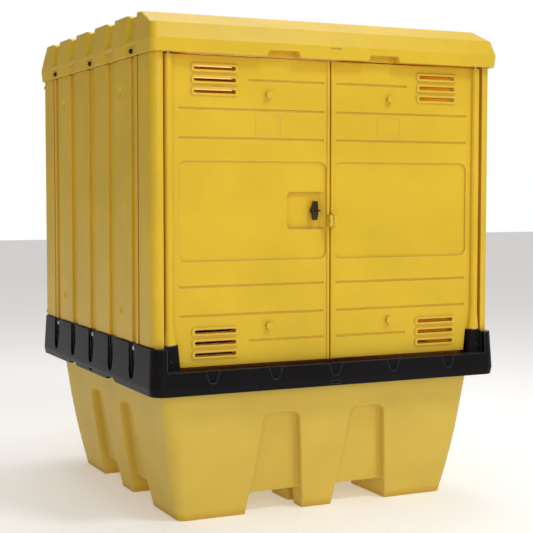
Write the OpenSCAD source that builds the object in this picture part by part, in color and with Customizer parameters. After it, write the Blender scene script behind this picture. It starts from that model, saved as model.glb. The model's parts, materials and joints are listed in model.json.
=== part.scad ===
// Covered spill containment pallet for one intermediate bulk container.
// A nine-foot sump carries a deck frame with lift-out gratings. Twin-wall sides, a rear wall and a
// roof stand on the frame, and two hinged doors close the front.
// Frame: X to the right, Y to the back, Z up, origin on the ground under the middle.

/* [Overall] */
// Width of the deck skirt at its bottom edge
deck_w = 1640; // [1630:2:1660]
// Depth of the deck skirt at its bottom edge
deck_d = 1650; // [1640:2:1670]
// Height of the top of the roof
overall_h = 2104; // [2090:2:2140]

/* [Sump] */
// Width of the nine feet together, both ways
foot_span = 1294; // [1270:2:1310]
// Outward lean of the sump wall, mm of width per mm of height
sump_lean = 0.25; // [0.22:0.005:0.26]
// Thickness of the sump wall
sump_t = 9; // [6:1:11]
// Width of each fork channel at the ground
fork_w = 275; // [250:5:285]
// Clear height of each fork channel
fork_h = 91; // [85:1:100]
// Distance from the centre to the middle of each fork channel
fork_x = 208; // [200:1:215]
// Height of the recess above each fork channel
recess_h = 458; // [400:2:470]
// Depth of the recesses into the sump wall
recess_depth = 32; // [24:1:40]

/* [Deck] */
// Height of the front lip
lip_z = 655; // [652:1:658]
// Height of the upstand round the walls
upstand_z = 750; // [740:1:752]
// Corner radius of the skirt seen from above
skirt_r = 57; // [45:1:65]
// Thickness of the lift-out gratings
grate_t = 34; // [30:1:34]
// Openings across each grating
grate_cols = 9; // [6:1:12]
// Openings along each grating
grate_rows = 14; // [7:1:18]

/* [Cabin] */
// Thickness of the twin-wall sides
wall_t = 45; // [40:1:46]
// Depth of the flutes in the walls
flute_depth = 10; // [6:1:10]
// Distance between neighbouring flutes
flute_pitch = 280; // [270:1:284]
// Depth of the grooves in the roof
roof_groove = 12; // [8:1:12]
// Skin thickness of the roof
roof_t = 6; // [4:1:6]

/* [Doors] */
// Thickness of a door without its beads
door_t = 40; // [36:1:44]
// Gap between the doors
door_gap = 4; // [4:1:8]
// Radius of the hinge column
column_r = 18.5; // [16:0.5:19]
// Radius of the hinge pins
pin_r = 8; // [6:0.5:9]
// Radial clearance of the hinge pins in the doors
pin_play = 0.06; // [0.02:0.01:0.09]

/* [Handle] */
// Length of the grip of the T-handle
grip_l = 80; // [70:1:90]
// Across-flats size of the square spindle
spindle_a = 8; // [7:1:9]

/* [Hidden] */

$fn = 48;

// Colours
yellow = "#e6be3c";
sump_yellow = "#d8b44a";
black = "#232224";
steel = "#b9bcc0";
brass = "#c2a24c";

// Heights of the stacked parts
skirt_z = 558;
crease_z = 588;
rim_z = 640;
grate_z = lip_z - 1 - grate_t;
wall_z0 = lip_z + 0.3;
wall_z1 = 1975;
roof_z = 1934;
roof_crease_z = 1986;
fascia_z = 2051;
door_z0 = 666;
door_z1 = 1929;
column_z0 = 762;

// Plan positions
crease = 4.2;
upstand_lean = 4.4;
half_w = deck_w / 2;
half_d = deck_d / 2;
wall_x = half_w - 13;
wall_front = -(half_d - 41);
wall_back = half_d - 22;
foot_x = wall_x - 10;
foot_back = wall_back - 10;
door_y = -(half_d - 61);
door_back = door_y + door_t;
hinge_x = half_w - 85;
hinge_y = -(half_d - 58);
side_mid = 6;
grate_half = 722;
upstand_x = foot_x + 1.5;
upstand_back = foot_back + 1.5;
upstand_front = wall_front - 1.5;
lip_end = wall_x - 45;
top_rebate = 76;

// Sump shape
sump_belly = 0.000134;
channel_draft = 10;
recess_floor = foot_span / 2 - 9;
recess_out = 120;
foot_slot = [-567, -505];
recess_lean = atan((tub_half(430) - recess_depth - recess_floor) / (430 - fork_h));
column_r_out = 60;
column_wall = 6;

// Roof shape
roof_x = half_w + 2;
roof_y = half_d - 9;
roof_rib = 5;
roof_top_x = roof_x - 16;
roof_lean = atan((roof_x - roof_top_x) / (overall_h - roof_crease_z));
fascia_y = roof_y - 31;
fascia_back = roof_y - 29;
fascia_x = roof_x - 8.8;
roof_top_front = -(roof_y - 151);
roof_top_back = roof_y - 53;
roof_r = 26;
groove_floor = 35;
groove_flare = 1.8;
lip_recess_x = roof_x - 11;
lip_recess_half = 52;
lip_recess_top = roof_crease_z - 8;
header_y = -742;

// Fastener sizes
bolt_r = 5;
bolt_head_r = 10;
bolt_head_h = 6;
roof_head_h = 10;
insert_r = 9;
insert_l = 20;
deck_bolt_z = 731;
pin_screw_z = 696;
boss_z = 758;
roof_bolt_z = 1954;
rear_bolt_seat = roof_y - 4.5;
corner_screw_y = wall_back - 22;
corner_screw_zs = [772, 1904];
dimple_ys = [-390, 450];
dimple_zs = [888, 1797];

// Door features, measured from the middle of the object
bead_r = 7.5;
bead_x = door_gap / 2 + bead_r;
panel_edge = hinge_x - 16;
low_edge = hinge_x - 50;
low_edge_top = hinge_x - 39.5;
vent_x = 531;
vent_pitch = 47;
vent_zs = [1832, 761.5];
vent_w = 207;
vent_h = 33;
slot_w = 184;
slot_h = 15.5;
rim_h = 6;
peg_x = 290;
peg_zs = [1777, 820];
line_zs = [1715, 1597, 993, 874];
short_line_zs = [1836, 762];
panel_z0 = 1094;
panel_z1 = 1506;
panel_depth = 7;
latch_ramp = [48, 21];
latch_x1 = 201;
latch_z0 = 1221;
latch_z1 = 1379;
latch_floor = door_y + 24;
plate_x = 289;
plate_z = 1655;
hasp_z = 1256;
hasp_r = 5;
hasp_y = door_y - 27;

// Handle positions
handle_x = -70;
handle_z = 1300;
grip_y = latch_floor - 30;
cam_l = 92;
cam_y = door_back + 3;
cam_t = 4;

// ---------------------------------------------------------------- helpers

// Rounded rectangle from squares and circles, so that its corners stay true arcs
module rounded(w, d, r) {
    square([w - 2 * r, d], center = true);
    square([w, d - 2 * r], center = true);
    for (x = [-1, 1], y = [-1, 1])
        translate([x * (w / 2 - r), y * (d / 2 - r)])
            circle(r);
}

module rounded_block(w, d, h, r)
    linear_extrude(h)
        rounded(w, d, r);

// A block from its lowest corner to its highest corner
module block(lo, hi)
    translate(lo)
        cube(hi - lo);

module both_sides() {
    children();
    mirror([1, 0, 0])
        children();
}

// Flat plate shape drawn in X and Z, from y0 forwards to y1 behind it
module front_plate(y0, y1)
    translate([0, y1, 0])
        rotate([90, 0, 0])
            linear_extrude(y1 - y0)
                children();

// Shape drawn in Y and Z, swept along X
module side_plate(x0, x1)
    translate([x0, 0, 0])
        rotate([90, 0, 90])
            linear_extrude(x1 - x0)
                children();

// Cylinder along X or along Y
module rod_x(r, l)
    rotate([0, 90, 0])
        cylinder(r = r, h = l);

module rod_y(r, l)
    rotate([-90, 0, 0])
        cylinder(r = r, h = l);

// Puts the children at each listed flute of a wall, numbered from -2 to 2
module at_flutes(numbers = [-2:2])
    for (i = numbers)
        translate([0, side_mid + i * flute_pitch, 0])
            children();

// The same pattern turned onto the rear face, centred on the middle
module at_rear_flutes(numbers = [-2:2])
    for (i = numbers)
        translate([i * flute_pitch, 0, 0])
            children();

// ---------------------------------------------------------------- sump

function tub_half(z) = foot_span / 2 + sump_lean * z - sump_belly * z * z;
function tub_corner(z) = z < skirt_z ? 34 + 0.09 * z : 84 - 0.3 * (z - skirt_z);

module tub(inset, z0, z1)
    hull()
        for (i = [0:6])
            let (z = z0 + (z1 - z0) * i / 6)
                translate([0, 0, z - 0.02 * i / 6])
                    rounded_block(2 * (tub_half(z) - inset), 2 * (tub_half(z) - inset), 0.02,
                                  tub_corner(z) - inset / 2, $fn = 32);

// The fork channels in both directions and the slots across the middle feet; grow is the wall around them
module channels(grow) {
    for (turn = [0:90:270])
        rotate([0, 0, turn])
            block([-fork_x, foot_slot[0] - grow, -1], [fork_x, foot_slot[1] + grow, fork_h + grow]);
    for (turn = [0, 90], side = [-1, 1])
        rotate([0, 0, turn])
            translate([side * fork_x, 0, 0])
                front_plate(-850, 850)
                    polygon([[-fork_w / 2 - grow, -1], [fork_w / 2 + grow, -1],
                             [fork_w / 2 - channel_draft + grow, fork_h + grow],
                             [-fork_w / 2 + channel_draft - grow, fork_h + grow]]);
}

// Drafted recess above one fork channel; its floor leans like the wall it is sunk into
module recess(grow) {
    bottom = 119 + grow;
    top = 79 + grow;
    height = (recess_h - fork_h) / 1.045 + grow;
    translate([fork_x, -recess_floor, fork_h])
        rotate([90 + recess_lean, 0, 0])
            translate([0, 0, -grow])
                linear_extrude(recess_out, scale = 1.18)
                    offset(r = 34 + grow)
                        offset(delta = -34 - grow)
                            polygon([[-bottom - 12, -95], [bottom + 12, -95], [top, height], [-top, height]]);
}

module recesses(grow)
    for (turn = [0:90:270])
        rotate([0, 0, turn])
            both_sides()
                recess(grow);

module sump()
    color(sump_yellow) {
        difference() {
            tub(0, 0, rim_z);
            channels(0);
            recesses(0);
            difference() {
                tub(sump_t, sump_t, rim_z + 1);
                channels(sump_t);
                recesses(sump_t);
            }
        }
        difference() {
            translate([0, 0, rim_z - 11])
                rounded_block(2 * half_w - 60, 2 * half_d - 70, 11, 50);
            translate([0, 0, rim_z - 12])
                rounded_block(2 * tub_half(rim_z) - 2 * sump_t, 2 * tub_half(rim_z) - 2 * sump_t, 20,
                              tub_corner(rim_z) - sump_t / 2);
        }
    }

// Tube that carries the gratings, standing where two channels cross inside the sump
module support_column(sx, sy)
    color(black)
        translate([sx * fork_x, sy * fork_x, 0]) {
            base = fork_h + sump_t;
            translate([0, 0, base])
                difference() {
                    cylinder(r = column_r_out, h = grate_z - base);
                    translate([0, 0, -1])
                        cylinder(r = column_r_out - column_wall, h = grate_z);
                }
        }

// ---------------------------------------------------------------- deck frame

// Skirt and upstand in one: leans out to the crease, then in to the top
module deck_outer() {
    module slice(z, out)
        translate([0, 0, z])
            rounded_block(2 * (half_w + out), 2 * (half_d + out), 0.02, skirt_r, $fn = 64);
    hull() {
        slice(skirt_z, 0);
        slice(crease_z, crease);
        slice(upstand_z - 0.02, -upstand_lean);
    }
}

// U-shaped groove in a skirt face that looks along -Y, cut from the top edge
module skirt_groove(depth, foot_half, top_half) {
    face = 12;
    front_plate(-face, depth)
        union() {
            translate([0, 602 + foot_half])
                circle(foot_half);
            polygon([[-foot_half, 602 + foot_half], [foot_half, 602 + foot_half],
                     [top_half, upstand_z + 5], [-top_half, upstand_z + 5]]);
        }
}

// Trapezoid notch in the bottom edge of the skirt
module skirt_notch()
    front_plate(-20, 40)
        polygon([[-61, skirt_z - 2], [61, skirt_z - 2], [40, skirt_z + 15], [-40, skirt_z + 15]]);

module skirt_slot()
    translate([0, -20, 572])
        block([-23, 0, -5], [23, 28, 5]);

// Turns a cutter made for the face that looks along -Y onto the left or the rear face
module on_left()
    translate([-half_w, side_mid, 0])
        rotate([0, 0, -90])
            children();

module on_rear()
    translate([0, half_d, 0])
        rotate([0, 0, 180])
            children();

module side_cuts() {
    on_left() {
        at_rear_flutes()
            skirt_groove(13, 34, 48);
        for (i = [-1, 1])
            translate([i * flute_pitch, 0, 0])
                skirt_notch();
        skirt_slot();
    }
    for (i = [-2, 0, 2])
        translate([-half_w - 10, side_mid + i * flute_pitch, deck_bolt_z])
            rod_x(bolt_r + 0.5, 60);
}

module deck_frame()
    color(black)
        difference() {
            union() {
                difference() {
                    deck_outer();
                    translate([0, 0, skirt_z - 2])
                        rounded_block(2 * half_w - 42, 2 * half_d - 46, rim_z - skirt_z + 2, skirt_r - 22);
                    upstand_hollow();
                    block([-lip_end, -half_d - 20, lip_z], [lip_end, -700, upstand_z + 10]);
                }
                grate_seat();
                both_sides()
                    hinge_boss();
            }
            translate([0, 0, grate_z])
                linear_extrude(200)
                    square(2 * grate_half, center = true);
            both_sides() {
                side_cuts();
                translate([hinge_x, hinge_y, lip_z - 12])
                    cylinder(r = pin_r, h = 200);
                translate([hinge_x, hinge_y - 40, pin_screw_z])
                    rod_y(2.5, 40);
            }
            on_rear() {
                at_rear_flutes()
                    skirt_groove(13, 34, 48);
                for (i = [-1, 1])
                    translate([i * flute_pitch, 0, 0])
                        skirt_notch();
            }
            for (i = [-2:2])
                translate([i * 283, -half_d - 4, 0])
                    skirt_groove(12, 20, 70);
            translate([0, -half_d, 0])
                skirt_slot();
            for (i = [-2, 0, 2])
                translate([i * flute_pitch, 780, deck_bolt_z])
                    rod_y(bolt_r + 0.5, 60);
        }

// Space for the feet of the walls
module upstand_hollow()
    translate([0, (upstand_front + upstand_back) / 2, lip_z])
        rounded_block(2 * upstand_x, upstand_back - upstand_front, 200, 3);

// Ledge under the gratings, hanging from the inner edge of the ring
module grate_seat()
    translate([0, 0, grate_z - 7])
        difference() {
            rounded_block(2 * grate_half + 16, 2 * grate_half + 16, rim_z - grate_z + 8, 40);
            translate([0, 0, -1])
                linear_extrude(100)
                    square(2 * grate_half - 44, center = true);
        }

// Drafted block that holds the lower hinge pin
module hinge_boss() {
    w = 69;
    d = 72;
    r = 10;
    translate([lip_end - 1, -grate_half, lip_z - 10])
        linear_extrude(boss_z - lip_z + 10, scale = [0.84, 0.97]) {
            block_2d(r - w, -d, 0, 0);
            block_2d(-w, r - d, 0, 0);
            translate([r - w, r - d])
                circle(r);
        }
}

module block_2d(x0, y0, x1, y1)
    translate([x0, y0])
        square([x1 - x0, y1 - y0]);

// ---------------------------------------------------------------- gratings

module grate()
    color(black)
        translate([0, 0, grate_z + 0.3])
            difference() {
                linear_extrude(grate_t)
                    block_2d(1, -grate_half + 1, grate_half - 1, grate_half - 1);
                rim = 26;
                bar = 14;
                cell_x = (grate_half - 2 - 2 * rim + bar) / grate_cols;
                cell_y = (2 * grate_half - 2 - 2 * rim + bar) / grate_rows;
                translate([0, 0, -1])
                    linear_extrude(grate_t + 2)
                        for (i = [0:grate_cols - 1], j = [0:grate_rows - 1])
                            translate([1 + rim + i * cell_x, -grate_half + 1 + rim + j * cell_y])
                                square([cell_x - bar, cell_y - bar]);
            }

// ---------------------------------------------------------------- walls

// Seen from above: the left wall with its round corner posts and flutes
module left_wall_outline()
    difference() {
        intersection() {
            union() {
                block_2d(-wall_x, wall_front + 35, -wall_x + wall_t, wall_back - 25);
                block_2d(-wall_x + 35, wall_front, -wall_x + wall_t, wall_front + 36);
                block_2d(-wall_x + 25, wall_back - 26, -wall_x + wall_t, wall_back);
                translate([-wall_x + 35, wall_front + 35])
                    circle(35);
                translate([-wall_x + 25, wall_back - 25])
                    circle(25);
            }
            block_2d(-wall_x, wall_front, -wall_x + wall_t, wall_back);
        }
        at_flutes([-1:1])
            translate([-wall_x - 1, -46])
                square([flute_depth + 1, 92]);
        for (end = [-1, 1])
            translate([0, side_mid + end * 556]) {
                translate([-wall_x - 1, -25])
                    square([flute_depth + 1, 50]);
                translate([-wall_x - 1, end * 60 - 10])
                    square([flute_depth + 1, 20]);
            }
    }

// Twin-wall panel: a skin round a hollow that vents through the foot
module wall_hollow()
    difference() {
        union() {
            block([-foot_x + 6, wall_front + 14, wall_z0 + 7], [-wall_x + wall_t - 6, foot_back - 6, wall_z1 - 6]);
            block([-foot_x + 10, -15, wall_z0 - 1], [-wall_x + wall_t - 10, 15, wall_z0 + 10]);
        }
        for (i = [-2, 0, 2], z = [deck_bolt_z, roof_bolt_z])
            translate([-foot_x, side_mid + i * flute_pitch, z])
                rod_x(insert_r + 9, 40);
        for (z = corner_screw_zs)
            translate([-foot_x, corner_screw_y, z])
                rod_x(16, 40);
    }

module left_wall_body()
    difference() {
        translate([0, 0, wall_z0])
            linear_extrude(wall_z1 - wall_z0)
                left_wall_outline();
        wall_hollow();
        // Foot set back to stand inside the upstand of the deck frame
        block([-wall_x - 1, wall_front - 1, wall_z0 - 1], [-foot_x, wall_back + 1, upstand_z + 3]);
        block([-wall_x - 1, foot_back, wall_z0 - 1], [-wall_x + wall_t + 1, wall_back + 1, upstand_z + 3]);
        // Top set back where the grooves of the roof come down over it
        at_flutes()
            block([-wall_x - 1, -top_rebate, roof_z - 3], [-foot_x, top_rebate, wall_z1 + 1]);
        for (i = [-2, 0, 2], z = [deck_bolt_z, roof_bolt_z])
            translate([-foot_x - 12, side_mid + i * flute_pitch, z])
                rod_x(insert_r, insert_l + 12);
        for (y = dimple_ys, z = dimple_zs)
            translate([-wall_x - 58, y, z])
                sphere(r = 64);
        for (z = corner_screw_zs)
            translate([-wall_x - 1, corner_screw_y, z])
                rod_x(3.2, wall_t + 2);
    }

module left_wall()
    color(yellow)
        left_wall_body();

module right_wall()
    color(yellow)
        mirror([1, 0, 0])
            left_wall_body();

module rear_wall() {
    half = wall_x - wall_t - 1;
    inner = wall_back - wall_t;
    color(yellow)
        difference() {
            block([-half, inner, wall_z0], [half, wall_back, wall_z1]);
            at_rear_flutes()
                block([-46, wall_back - flute_depth, wall_z0 - 1], [46, wall_back + 1, wall_z1 + 1]);
            block([-half - 1, foot_back, wall_z0 - 1], [half + 1, wall_back + 1, upstand_z + 3]);
            difference() {
                union() {
                    block([-half + 7, inner + 6, wall_z0 + 7], [half - 7, foot_back - 6, wall_z1 - 6]);
                    block([-15, inner + 10, wall_z0 - 1], [15, foot_back - 10, wall_z0 + 10]);
                }
                for (i = [-2, 0, 2], z = [deck_bolt_z, roof_bolt_z])
                    translate([i * flute_pitch, foot_back - 40, z])
                        rod_y(insert_r + 9, 45);
                for (x = [-half, half - 40], z = corner_screw_zs)
                    translate([x, corner_screw_y, z])
                        rod_x(14, 40);
            }
            for (i = [-2, 0, 2], z = [deck_bolt_z, roof_bolt_z])
                translate([i * flute_pitch, foot_back - insert_l, z])
                    rod_y(insert_r, insert_l + 12);
            for (x = [-half - 1, half - 29], z = corner_screw_zs)
                translate([x, corner_screw_y, z])
                    rod_x(3, 30);
        }
}

// Threaded brass insert, from the foot plane of a wall inwards
module insert()
    difference() {
        rod_x(insert_r, insert_l);
        translate([-1, 0, 0])
            rod_x(bolt_r, insert_l + 2);
    }

module side_inserts()
    color(brass)
        for (i = [-2, 0, 2], z = [deck_bolt_z, roof_bolt_z])
            translate([-foot_x, side_mid + i * flute_pitch, z])
                insert();

module left_wall_inserts()
    side_inserts();

module right_wall_inserts()
    mirror([1, 0, 0])
        side_inserts();

module rear_wall_inserts()
    color(brass)
        for (i = [-2, 0, 2], z = [deck_bolt_z, roof_bolt_z])
            translate([i * flute_pitch, foot_back, z])
                rotate([0, 0, -90])
                    insert();

// ---------------------------------------------------------------- roof

// Roof without its grooves, shrunk by inset all round
module roof_body(inset) {
    module slice(x, front, back, z, r)
        translate([0, (front + back) / 2, z])
            rounded_block(2 * (x - inset), back - front - 2 * inset, 0.02, r - inset, $fn = 32);
    hull() {
        slice(roof_x - roof_rib, -roof_y + roof_rib, roof_y - roof_rib, roof_z - inset, roof_r);
        slice(roof_x, -roof_y, roof_y, roof_crease_z, roof_r);
        slice(fascia_x, -fascia_y, fascia_back, fascia_z - inset / 3, roof_r);
        slice(roof_top_x, roof_top_front, roof_top_back, overall_h - inset - 0.02, roof_r + 6);
    }
}

// Groove with its floor at x = 0, open towards -X and running up
module groove_prism(half, flare, length)
    linear_extrude(length)
        polygon([[0, -half], [0, half], [-40, half + 40 * flare], [-40, -half - 40 * flare]]);

// Groove up the left face of the roof; a ramp closes its lower end
module side_groove(grow)
    translate([-roof_x, 0, roof_crease_z])
        rotate([0, roof_lean, 0])
            difference() {
                translate([roof_groove + grow, 0, 0])
                    groove_prism(groove_floor - 1 + grow, groove_flare, 200);
                translate([0, 0, 8 - grow])
                    rotate([0, -45, 0])
                        block([-80, -150, -80], [80, 150, 0]);
            }

// Recess in the lip below a groove, round the bolt
module lip_recess(grow)
    translate([-lip_recess_x + grow, 0, roof_z - 20])
        groove_prism(lip_recess_half + grow, 1.5, lip_recess_top + grow - roof_z + 20);

module roof_grooves(grow)
    at_flutes() {
        both_sides() {
            side_groove(grow);
            lip_recess(grow);
        }
        translate([-900, 0, overall_h - roof_groove - grow])
            rotate([0, 90, 0])
                groove_prism(groove_floor + grow, groove_flare, 1800);
    }

module roof_volume(inset)
    difference() {
        roof_body(inset);
        roof_grooves(inset);
    }

// Scoop under the front edge of the roof
module fascia_scoop()
    front_plate(-roof_y - 5, header_y - 20)
        polygon([[161, roof_z - 1], [317, roof_z - 1], [305, roof_z + 24], [172, roof_z + 24]]);

module roof() {
    socket_r = 22;
    color(yellow)
        difference() {
            union() {
                difference() {
                    roof_volume(0);
                    difference() {
                        roof_volume(roof_t);
                        block([-900, -900, roof_z - 1], [900, header_y, roof_z + 9]);
                    }
                    // The posts of the side walls pass through the front flange
                    both_sides()
                        block([wall_x - wall_t - 1, wall_front - 2, roof_z - 1],
                              [roof_x - roof_rib - roof_t, header_y + 1, roof_z + 60]);
                }
                both_sides()
                    translate([hinge_x, hinge_y, roof_z])
                        cylinder(r = socket_r, h = 50);
                fascia_scoop_walls();
            }
            both_sides() {
                fascia_scoop();
                translate([hinge_x, hinge_y, roof_z - 1])
                    cylinder(r = pin_r, h = 42);
                for (i = [-2, 0, 2])
                    translate([-roof_x - 5, side_mid + i * flute_pitch, roof_bolt_z])
                        rod_x(bolt_r + 0.5, 40);
            }
            block([-23, -roof_y - 5, 1972], [23, -roof_y + 5, 1981]);
            for (i = [-2, 0, 2])
                translate([i * flute_pitch, 0, roof_bolt_z]) {
                    translate([0, roof_y - 30, 0])
                        rod_y(bolt_r + 0.5, 40);
                    translate([0, rear_bolt_seat, 0])
                        rod_y(bolt_head_r + 3, 20);
                }
        }
}

// Closed pocket behind each scoop, so that rain stays out of the cabin
module fascia_scoop_walls()
    both_sides()
        front_plate(-roof_y + roof_rib + 2, header_y)
            polygon([[153, roof_z], [325, roof_z], [312, roof_z + 30], [165, roof_z + 30]]);

// ---------------------------------------------------------------- fasteners

// Bolt along +X, with its head's seat at x = 0
module dome_bolt(length, head) {
    rod_x(bolt_r - 0.3, length);
    translate([-head, 0, 0])
        rod_x(bolt_head_r - 2.5, head);
    translate([2.5 - head, 0, 0])
        rod_x(bolt_head_r, head - 2.5);
}

module side_bolts(seat, length, head, z)
    both_sides()
        for (i = [-2, 0, 2])
            translate([-seat, side_mid + i * flute_pitch, z])
                dome_bolt(length, head);

module rear_bolts(seat, length, head, z)
    for (i = [-2, 0, 2])
        translate([i * flute_pitch, seat, z])
            rotate([0, 0, -90])
                dome_bolt(length, head);

module deck_bolts()
    color(steel) {
        side_bolts(half_w - 13, 26, bolt_head_h, deck_bolt_z);
        rear_bolts(half_d - 13, 34, bolt_head_h, deck_bolt_z);
    }

module roof_bolts()
    color(black) {
        side_bolts(lip_recess_x, 30, roof_head_h, roof_bolt_z);
        rear_bolts(rear_bolt_seat, 34, bolt_head_h, roof_bolt_z);
    }

module corner_screws()
    color(steel)
        both_sides()
            for (z = corner_screw_zs)
                translate([-wall_x, corner_screw_y, z]) {
                    translate([-3, 0, 0])
                        rod_x(7, 3);
                    rod_x(2.8, 70);
                }

// ---------------------------------------------------------------- doors

// Lying groove in the front face, with round ends
module face_line(x0, x1, z)
    translate([x0, door_y, z]) {
        rod_x(5.5, x1 - x0);
        sphere(r = 5.5);
        translate([x1 - x0, 0, 0])
            sphere(r = 5.5);
    }

module stadium(w, h, r)
    rounded(w, h, r);

module at_vents()
    for (z = vent_zs, i = [-1:1])
        translate([vent_x, 0, z + i * vent_pitch])
            children();

// The right door; mirrored for the left one
module door_leaf() {
    x_in = door_gap / 2;
    difference() {
        union() {
            block([x_in, door_y, column_z0], [hinge_x, door_back, door_z1]);
            front_plate(door_y, door_back)
                polygon([[x_in, door_z0], [low_edge, door_z0], [low_edge_top, column_z0 + 1],
                         [x_in, column_z0 + 1]]);
            translate([hinge_x, hinge_y, column_z0])
                cylinder(r = column_r, h = door_z1 - 3 - column_z0);
            translate([hinge_x - 1, hinge_y, column_z0])
                cylinder(r1 = 25.5, r2 = column_r - 1, h = 100);
            translate([hinge_x - 7, hinge_y, column_z0])
                cylinder(r1 = 24, r2 = column_r - 8, h = 100);
            translate([bead_x, door_y + 0.5, door_z0])
                cylinder(r = bead_r, h = door_z1 - door_z0);
            at_vents()
                front_plate(door_y - rim_h, door_y + 1)
                    stadium(vent_w, vent_h, 11);
            for (z = peg_zs)
                translate([peg_x, door_y - 18, z])
                    rod_y(15, 20);
            // Padlock lug on the bead
            side_plate(x_in, x_in + 15)
                translate([(hasp_y + door_y) / 2, hasp_z])
                    rounded(door_y - hasp_y + 22, 50, 10);
            name_plate_frame();
        }
        // Large sunk panel
        front_plate(door_y - 1, door_y + panel_depth)
            translate([(bead_x + bead_r + panel_edge - 28) / 2, (panel_z0 + panel_z1) / 2])
                rounded(panel_edge - 28 - bead_x - bead_r, panel_z1 - panel_z0, 34);
        for (z = line_zs)
            face_line(34, 684, z);
        for (z = short_line_zs)
            face_line(34, 374, z);
        at_vents()
            front_plate(door_y - rim_h - 1, door_back + 1)
                stadium(slot_w, slot_h, 6);
        door_hollow();
        translate([hinge_x, hinge_y, column_z0 - 1])
            cylinder(r = pin_r + pin_play, h = 62);
        translate([hinge_x, hinge_y, door_z1 - 54])
            cylinder(r = pin_r + pin_play, h = 60);
        translate([0, hasp_y, hasp_z])
            rod_x(hasp_r, 40);
    }
}

// Hollow between the skins, kept away from the vents, the latch and the hinge column
module door_hollow()
    difference() {
        union() {
            block([bead_x + bead_r + 8, door_y + 17, 790], [hinge_x - 34, door_back - 6, door_z1 - 8]);
            block([bead_x + bead_r + 8, door_y + 17, door_z0 + 8], [low_edge - 8, door_back - 6, 791]);
            block([300, door_y + 21, door_z0 - 1], [330, door_back - 9, door_z0 + 10]);
        }
        block([0, door_y, latch_z0 - 10], [latch_x1 + 12, door_back, latch_z1 + 10]);
        for (z = vent_zs)
            block([vent_x - slot_w / 2 - 6, door_y, z - vent_pitch - 15],
                  [vent_x + slot_w / 2 + 6, door_back, z + vent_pitch + 15]);
    }

// Thin raised border of the blank label field
module name_plate_frame()
    front_plate(door_y - 1.5, door_y + 1)
        translate([plate_x, plate_z])
            difference() {
                rounded(116, 88, 5);
                rounded(108, 80, 3);
            }

// Hand recess round the handle, round on the left and ramped up to the bead on the right
module latch_recess()
    intersection() {
        front_plate(door_y - 1, latch_floor)
            translate([-latch_x1 / 2, (latch_z0 + latch_z1) / 2])
                rounded(latch_x1, latch_z1 - latch_z0, 22);
        translate([0, 0, latch_z0 - 5])
            linear_extrude(latch_z1 - latch_z0 + 10)
                polygon([[-latch_x1 - 2, door_y - 2], [-latch_x1 - 2, latch_floor], [-latch_ramp[0], latch_floor],
                         [-latch_ramp[1], door_y + panel_depth], [-latch_ramp[1], door_y - 2]]);
    }

module left_door()
    color(yellow)
        difference() {
            mirror([1, 0, 0])
                door_leaf();
            latch_recess();
            translate([handle_x, latch_floor - 1, handle_z])
                rod_y(11, 60);
        }

module right_door()
    color(yellow)
        difference() {
            door_leaf();
            for (z = [-12, 12])
                translate([strike_x, door_back - 20, handle_z + z])
                    rod_y(2, 30);
        }

// ---------------------------------------------------------------- hinges

module lower_hinge_pins()
    color(steel)
        both_sides()
            translate([hinge_x, hinge_y, lip_z - 12])
                cylinder(r = pin_r, h = column_z0 + 56 - lip_z + 12);

module upper_hinge_pins()
    color(steel)
        both_sides()
            translate([hinge_x, hinge_y, door_z1 - 50])
                cylinder(r = pin_r, h = roof_z + 41 - door_z1 + 50);

// Thrust washers between the hinge bosses and the doors
module hinge_washers()
    color(steel)
        both_sides()
            translate([hinge_x, hinge_y, boss_z])
                difference() {
                    cylinder(r = 16, h = column_z0 - boss_z - 0.4);
                    translate([0, 0, -1])
                        cylinder(r = pin_r, h = 10);
                }

// Grub screws that hold the lower pins from the front of each boss
module pin_screws()
    color(black)
        both_sides()
            translate([hinge_x, hinge_y - 24, pin_screw_z])
                rod_y(2.5, 24 - pin_r);

// ---------------------------------------------------------------- lock

strike_x = 38;

// Everything in the lock is drawn on the spindle axis, with y measured from the recess floor
module on_spindle()
    translate([handle_x, latch_floor, handle_z])
        children();

module handle_housing()
    color(black)
        on_spindle()
            difference() {
                union() {
                    translate([0, -6, 0])
                        rod_y(14, 6);
                    rod_y(11, door_back - latch_floor + 2);
                }
                translate([0, -7, 0])
                    rod_y(6.55, 60);
            }

module housing_nut()
    color(steel)
        on_spindle()
            translate([0, door_back - latch_floor, 0])
                difference() {
                    rotate([-90, 0, 0])
                        cylinder(r = 17, h = 2, $fn = 6);
                    translate([0, -1, 0])
                        rod_y(11, 10);
                }

// Grip seen from the side: thick in the middle, slimmer at its ends
module t_handle()
    color(black)
        on_spindle()
            difference() {
                union() {
                    intersection() {
                        side_plate(-11, 11)
                            polygon([[-31, -14], [-28, -grip_l / 2], [-15, -grip_l / 2], [-8, -9],
                                     [-8, 9], [-15, grip_l / 2], [-28, grip_l / 2], [-31, 14]]);
                        front_plate(-40, 0)
                            polygon([[-11, -8], [-9, -grip_l / 2], [9, -grip_l / 2], [11, -8],
                                     [11, 8], [9, grip_l / 2], [-9, grip_l / 2], [-11, 8]]);
                    }
                    translate([0, -8, 0])
                        rod_y(6.5, 24);
                }
                translate([0, -31, 0])
                    rod_y(5, 14);
                translate([-spindle_a / 2, 6, -spindle_a / 2])
                    cube([spindle_a, 20, spindle_a]);
            }

module spindle()
    color(steel)
        difference() {
            on_spindle()
                translate([-spindle_a / 2, 6, -spindle_a / 2])
                    cube([spindle_a, cam_y + cam_t - latch_floor - 6, spindle_a]);
            translate([handle_x, cam_y + cam_t - 10, handle_z])
                rod_y(2, 12);
        }

module cam()
    color(steel)
        translate([handle_x, cam_y, handle_z])
            difference() {
                front_plate(0, cam_t)
                    union() {
                        circle(14);
                        translate([-12, -cam_l])
                            square([24, cam_l]);
                    }
                translate([-spindle_a / 2, -1, -spindle_a / 2])
                    cube([spindle_a, cam_t + 2, spindle_a]);
            }

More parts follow.
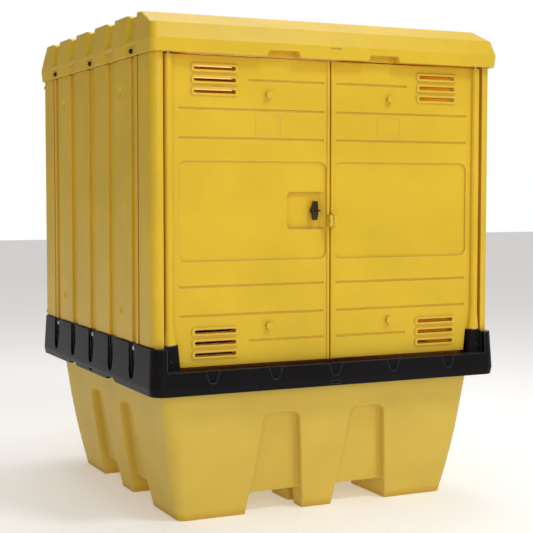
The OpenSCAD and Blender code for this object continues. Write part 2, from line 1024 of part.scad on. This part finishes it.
module cam_washer()
    color(steel)
        translate([handle_x, cam_y + cam_t, handle_z])
            difference() {
                rod_y(9, 1.5);
                translate([0, -1, 0])
                    rod_y(2.2, 4);
            }

module cam_bolt()
    color(steel)
        translate([handle_x, cam_y + cam_t + 1.5, handle_z]) {
            rotate([-90, 0, 0])
                cylinder(r = 6.5, h = 4, $fn = 6);
            translate([0, -11, 0])
                rod_y(2, 12);
        }

// Key core that turns in the middle of the grip
module lock_cylinder()
    color(black)
        on_spindle() {
            translate([0, -33, 0])
                rod_y(4.95, 15.6);
            block([-1.6, -72, -3], [1.6, -32, 3]);
        }

// Plate on the right door that the cam turns behind
module strike_plate()
    color(steel)
        translate([strike_x, door_back, handle_z])
            difference() {
                block([-26, 0, -22], [12, 2, 22]);
                for (z = [-12, 12])
                    translate([0, -1, z])
                        rod_y(2, 10);
            }

module strike_screws()
    color(steel)
        for (z = [-12, 12])
            translate([strike_x, door_back - 14, handle_z + z]) {
                rod_y(2, 16);
                translate([0, 16, 0])
                    rod_y(4, 0.8);
            }

// ---------------------------------------------------------------- nodes

sump();
support_column(-1, -1);  // support_column_1
support_column(1, -1);  // support_column_2
support_column(-1, 1);  // support_column_3
support_column(1, 1);  // support_column_4
deck_frame();
mirror([1, 0, 0]) grate();  // left_grate
grate();  // right_grate
left_wall();
right_wall();
rear_wall();
roof();
left_wall_inserts();
right_wall_inserts();
rear_wall_inserts();
deck_bolts();
roof_bolts();
corner_screws();
left_door();
right_door();
lower_hinge_pins();
upper_hinge_pins();
hinge_washers();
pin_screws();
handle_housing();
housing_nut();
t_handle();
spindle();
cam();
cam_bolt();
cam_washer();
lock_cylinder();
strike_plate();
strike_screws();
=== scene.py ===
"""Covered spill containment pallet: materials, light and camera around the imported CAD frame."""

import math

import bpy
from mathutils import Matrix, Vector
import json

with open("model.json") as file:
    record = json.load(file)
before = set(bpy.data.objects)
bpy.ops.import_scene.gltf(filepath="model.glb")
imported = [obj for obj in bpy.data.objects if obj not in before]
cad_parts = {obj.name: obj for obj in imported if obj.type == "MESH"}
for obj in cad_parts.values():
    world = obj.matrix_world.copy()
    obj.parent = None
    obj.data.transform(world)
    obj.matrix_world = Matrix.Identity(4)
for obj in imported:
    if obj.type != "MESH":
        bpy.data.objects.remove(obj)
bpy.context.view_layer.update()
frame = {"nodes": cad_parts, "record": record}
nodes = frame["nodes"]


# ---------------------------------------------------------------- shader pieces

SHADING_SAMPLES = 8  # rays of each rounded edge and corner test
PAINTED_SHADE_REACH = 0.045  # metres over which painted shade deepens the colour in a corner or gap
PAINTED_SHADE_OPENNESS = (0.2, 0.9)  # open share of the sky for full painted shade and for none
EDGE_HIGHLIGHT_AGREEMENT = (0.985, 0.75)  # cosine of flat to rounded normal where the painted edge highlight starts and is full
SHADE_STOPS = (0.3, 0.7)  # noise values that take the darker and the lighter shade


def new_material(name):
    """A material with the node tree to build on and its principled shader."""
    material = bpy.data.materials.new(name)
    material.use_nodes = True
    tree = material.node_tree
    shader = next(n for n in tree.nodes if n.type == "BSDF_PRINCIPLED")
    return material, tree, shader


def noise(tree, scale, detail=4.0, roughness=0.55, stretch=(1, 1, 1)):
    """Noise over object space, in cells per metre."""
    coords = tree.nodes.new("ShaderNodeTexCoord")
    mapping = tree.nodes.new("ShaderNodeMapping")
    mapping.inputs["Scale"].default_value = stretch
    tree.links.new(coords.outputs["Object"], mapping.inputs["Vector"])
    texture = tree.nodes.new("ShaderNodeTexNoise")
    texture.inputs["Scale"].default_value = scale
    texture.inputs["Detail"].default_value = detail
    texture.inputs["Roughness"].default_value = roughness
    tree.links.new(mapping.outputs["Vector"], texture.inputs["Vector"])
    return texture.outputs["Fac"]


def ramp(tree, factor, stops):
    """Colour ramp over a factor; stops are two pairs of (place, colour)."""
    node = tree.nodes.new("ShaderNodeValToRGB")
    for element, (place, colour) in zip(node.color_ramp.elements, stops):
        element.position = place
        element.color = (*colour, 1.0)
    tree.links.new(factor, node.inputs["Fac"])
    return node.outputs["Color"]


def shades(tree, factor, colour, darkest, lightest):
    """A colour that noise varies between two strengths of it."""
    strengths = (darkest, lightest)
    stops = [(place, [channel * strength for channel in colour])
             for place, strength in zip(SHADE_STOPS, strengths)]
    return ramp(tree, factor, stops)


def from_range(tree, factor, start, end):
    """Where the factor lies between start and end, from 0 to 1 and no further."""
    node = tree.nodes.new("ShaderNodeMapRange")
    node.inputs["From Min"].default_value = start
    node.inputs["From Max"].default_value = end
    tree.links.new(factor, node.inputs["Value"])
    return node.outputs["Result"]


def uneven(tree, factor, middle, spread):
    """A value that noise moves up and down about its middle."""
    node = tree.nodes.new("ShaderNodeMapRange")
    node.inputs["To Min"].default_value = middle - spread
    node.inputs["To Max"].default_value = middle + spread
    tree.links.new(factor, node.inputs["Value"])
    return node.outputs["Result"]


def dot(tree, vector):
    """Dot product node whose first input is linked to a vector."""
    node = tree.nodes.new("ShaderNodeVectorMath")
    node.operation = "DOT_PRODUCT"
    tree.links.new(vector, node.inputs[0])
    return node


def blend(tree, factor):
    """Colour mix node, from its A at factor 0 to its B at factor 1."""
    node = tree.nodes.new("ShaderNodeMix")
    node.data_type = "RGBA"
    tree.links.new(factor, node.inputs["Factor"])
    return node


def rounded_normal(tree, radius):
    """The surface's normal with its edges rounded by a radius in metres."""
    node = tree.nodes.new("ShaderNodeBevel")
    node.samples = SHADING_SAMPLES
    node.inputs["Radius"].default_value = radius
    return node.outputs["Normal"]


def painted_corner_shade(tree, colour, painted_shade_colour):
    """Painted shade: colour that deepens to a darker colour in corners and gaps, where shade falls
    and light bounces between the same plastic.
    """
    open_sky = tree.nodes.new("ShaderNodeAmbientOcclusion")
    open_sky.samples = SHADING_SAMPLES
    open_sky.inputs["Distance"].default_value = PAINTED_SHADE_REACH
    mix = blend(tree, from_range(tree, open_sky.outputs["AO"], *PAINTED_SHADE_OPENNESS))
    mix.inputs["A"].default_value = (*painted_shade_colour, 1.0)
    tree.links.new(colour, mix.inputs["B"])
    return mix.outputs["Result"]


def painted_edge_highlights(tree, colour, edge_highlight_colour, radius):
    """Colour with a painted highlight: the edges lightened to another colour."""
    geometry = tree.nodes.new("ShaderNodeNewGeometry")
    agreement = dot(tree, rounded_normal(tree, radius))
    tree.links.new(geometry.outputs["Normal"], agreement.inputs[1])
    mix = blend(tree, from_range(tree, agreement.outputs["Value"], *EDGE_HIGHLIGHT_AGREEMENT))
    tree.links.new(colour, mix.inputs["A"])
    mix.inputs["B"].default_value = (*edge_highlight_colour, 1.0)
    return mix.outputs["Result"]


def bump(tree, normal, height, strength, distance):
    """The normal with a bump on it, as high as the distance in metres."""
    node = tree.nodes.new("ShaderNodeBump")
    node.inputs["Strength"].default_value = strength
    node.inputs["Distance"].default_value = distance
    tree.links.new(height, node.inputs["Height"])
    tree.links.new(normal, node.inputs["Normal"])
    return node.outputs["Normal"]


# ---------------------------------------------------------------- materials

def moulded_plastic(name, colour, painted_shade_colour, edge_highlight_colour, roughness, grain,
                    cloudiness=0.06, specular=0.5, edge_radius=0.005):
    """Moulded polyethylene: a fine grain, faint cloudy colour, painted shade in corners and gaps,
    a painted highlight on the edges and slightly uneven gloss.
    """
    material, tree, shader = new_material(name)
    clouds = noise(tree, scale=3.0, detail=3.0)
    plain = shades(tree, clouds, colour, 1 - cloudiness, 1 + cloudiness)
    # Painted shade deepens corners and gaps, then a painted highlight lightens the edges.
    with_painted_light = painted_edge_highlights(tree, painted_corner_shade(tree, plain, painted_shade_colour), edge_highlight_colour, edge_radius)
    tree.links.new(with_painted_light, shader.inputs["Base Color"])
    gloss = uneven(tree, noise(tree, scale=40.0), roughness, 0.05)
    tree.links.new(gloss, shader.inputs["Roughness"])
    shader.inputs["Specular IOR Level"].default_value = specular
    edges = rounded_normal(tree, edge_radius)
    grains = noise(tree, scale=900.0, detail=2.0)
    grained = bump(tree, edges, grains, strength=grain, distance=0.0004)
    waves = noise(tree, scale=7.0, detail=2.0)
    wavy = bump(tree, grained, waves, strength=0.12, distance=0.004)
    tree.links.new(wavy, shader.inputs["Normal"])
    return material


def plated_steel(name, colour, roughness):
    """Plated or coated steel with fine scratches along one way."""
    material, tree, shader = new_material(name)
    shader.inputs["Metallic"].default_value = 1.0
    plate = shades(tree, noise(tree, scale=60.0), colour, 0.88, 1.08)
    tree.links.new(plate, shader.inputs["Base Color"])
    gloss = uneven(tree, noise(tree, scale=150.0), roughness, 0.08)
    tree.links.new(gloss, shader.inputs["Roughness"])
    edges = rounded_normal(tree, radius=0.0005)
    scratches = noise(tree, scale=1500.0, stretch=(1, 1, 0.05))
    scratched = bump(tree, edges, scratches, strength=0.12, distance=0.0001)
    tree.links.new(scratched, shader.inputs["Normal"])
    return material


def make_materials():
    """Every material, by the name of its slot in the record."""
    # Corner colours are painted shade and edge colours are painted highlights.
    plastics = {
        "yellow_plastic": {
            "colour": (0.78, 0.53, 0.032), "painted_shade_colour": (0.60, 0.29, 0.008),
            "edge_highlight_colour": (0.95, 0.72, 0.16), "roughness": 0.34, "grain": 0.2, "specular": 0.25},
        "sump_plastic": {
            "colour": (0.72, 0.52, 0.08), "painted_shade_colour": (0.54, 0.29, 0.02),
            "edge_highlight_colour": (0.82, 0.62, 0.16), "roughness": 0.5, "grain": 0.3, "specular": 0.25,
            "edge_radius": 0.012},
        "black_plastic": {
            "colour": (0.010, 0.009, 0.010), "painted_shade_colour": (0.004, 0.004, 0.004),
            "edge_highlight_colour": (0.10, 0.11, 0.14), "roughness": 0.28, "grain": 0.1, "specular": 0.05,
            "cloudiness": 0.15, "edge_radius": 0.006},
        "black_fitting": {
            "colour": (0.008, 0.008, 0.009), "painted_shade_colour": (0.004, 0.004, 0.004),
            "edge_highlight_colour": (0.05, 0.05, 0.055), "roughness": 0.3, "grain": 0.15,
            "cloudiness": 0.15, "edge_radius": 0.002},
    }
    steels = {
        "zinc_steel": {"colour": (0.60, 0.60, 0.60), "roughness": 0.32},
        "dark_screw": {"colour": (0.03, 0.03, 0.03), "roughness": 0.4},
        "brass": {"colour": (0.72, 0.52, 0.22), "roughness": 0.3},
    }
    made = {name: moulded_plastic(name, **look) for name, look in plastics.items()}
    made.update({name: plated_steel(name, **look) for name, look in steels.items()})
    return made


materials = make_materials()
slots = {part["node"]: part["material_slot"] for part in frame["record"]["subparts"]}
for name, node in nodes.items():
    node.data.materials.clear()
    node.data.materials.append(materials[slots[name]])


# ---------------------------------------------------------------- stage

FLOOR_SIZE = 60.0
FLOOR_GLOW = 0.3  # lifts the floor towards the white behind it
DIM_SIDE = (0.23, 0.19, 0.15)
PALE_SIDE = (0.40, 0.40, 0.40)
SIDE_CHANGE = (-0.5, 0.15)  # X of the direction where the dim side ends and the pale one begins
BACKDROP = (0.43, 0.90, 0.0)  # direction of the white backdrop, away from the camera
BACKDROP_EDGE = (0.84, 0.94)  # cosine to that direction where white begins and is full
OBJECT_MIDDLE = (0, 0, 1.0)
CAMERA_PLACE = (-2.52381, -5.45269, 1.37750)
CAMERA_DIP = 3.409  # degrees below level
CAMERA_TURN = 25.392  # degrees to the right of the Y axis
LENS_MM = 84.30
SENSOR_MM = 36.0
VIEW_REACH = 100.0


def make_floor():
    """Plain pale floor."""
    bpy.ops.mesh.primitive_plane_add(size=FLOOR_SIZE)
    floor = bpy.context.object
    floor.name = "floor"
    material, tree, shader = new_material("floor_paper")
    shader.inputs["Base Color"].default_value = (0.93, 0.93, 0.93, 1)
    shader.inputs["Roughness"].default_value = 0.9
    shader.inputs["Emission Color"].default_value = (1, 1, 1, 1)
    shader.inputs["Emission Strength"].default_value = FLOOR_GLOW
    floor.data.materials.append(material)


def make_light(name, place, aim, side, watts, colour=(1, 1, 1)):
    """Square area light at a place, turned to its aim."""
    data = bpy.data.lights.new(name, "AREA")
    data.shape = "SQUARE"
    data.size = side
    data.energy = watts
    data.color = colour
    light = bpy.data.objects.new(name, data)
    light.location = place
    light.rotation_euler = (Vector(aim) - Vector(place)).to_track_quat("-Z", "Y").to_euler()
    bpy.context.scene.collection.objects.link(light)


def make_world():
    """Pale studio round the object: white behind it, dim and warm beside the left wall."""
    world = bpy.data.worlds.new("studio")
    world.use_nodes = True
    tree = world.node_tree
    direction = tree.nodes.new("ShaderNodeTexCoord").outputs["Generated"]
    axes = tree.nodes.new("ShaderNodeSeparateXYZ")
    tree.links.new(direction, axes.inputs["Vector"])
    across = from_range(tree, axes.outputs["X"], *SIDE_CHANGE)
    around = ramp(tree, across, [(0.0, DIM_SIDE), (1.0, PALE_SIDE)])
    behind = dot(tree, direction)
    behind.inputs[1].default_value = BACKDROP
    mix = blend(tree, from_range(tree, behind.outputs["Value"], *BACKDROP_EDGE))
    tree.links.new(around, mix.inputs["A"])
    mix.inputs["B"].default_value = (1.0, 1.0, 1.0, 1.0)
    tree.links.new(mix.outputs["Result"], tree.nodes["Background"].inputs["Color"])
    bpy.context.scene.world = world


def make_camera():
    """Camera before the left front corner, at about chest height."""
    data = bpy.data.cameras.new("camera")
    data.sensor_width = SENSOR_MM
    data.lens = LENS_MM
    data.clip_end = VIEW_REACH
    camera = bpy.data.objects.new("camera", data)
    camera.location = CAMERA_PLACE
    camera.rotation_euler = (math.radians(90 - CAMERA_DIP), 0, math.radians(-CAMERA_TURN))
    bpy.context.scene.collection.objects.link(camera)
    bpy.context.scene.camera = camera


make_floor()
make_world()
make_light("key", (1.9, -4.4, 6.2), OBJECT_MIDDLE, side=1.5, watts=122)
make_light("fill", (-1.7, -6.0, 2.4), OBJECT_MIDDLE, side=1.5, watts=54, colour=(1.0, 0.93, 0.8))
make_light("top", (0.5, 1.0, 6.0), OBJECT_MIDDLE, side=4.0, watts=140)
make_light("cabin", (0, 0, 1.6), (0, -1, 1.2), side=0.8, watts=9, colour=(1.0, 0.62, 0.30))
make_camera()
bpy.context.scene.view_settings.view_transform = "Standard"
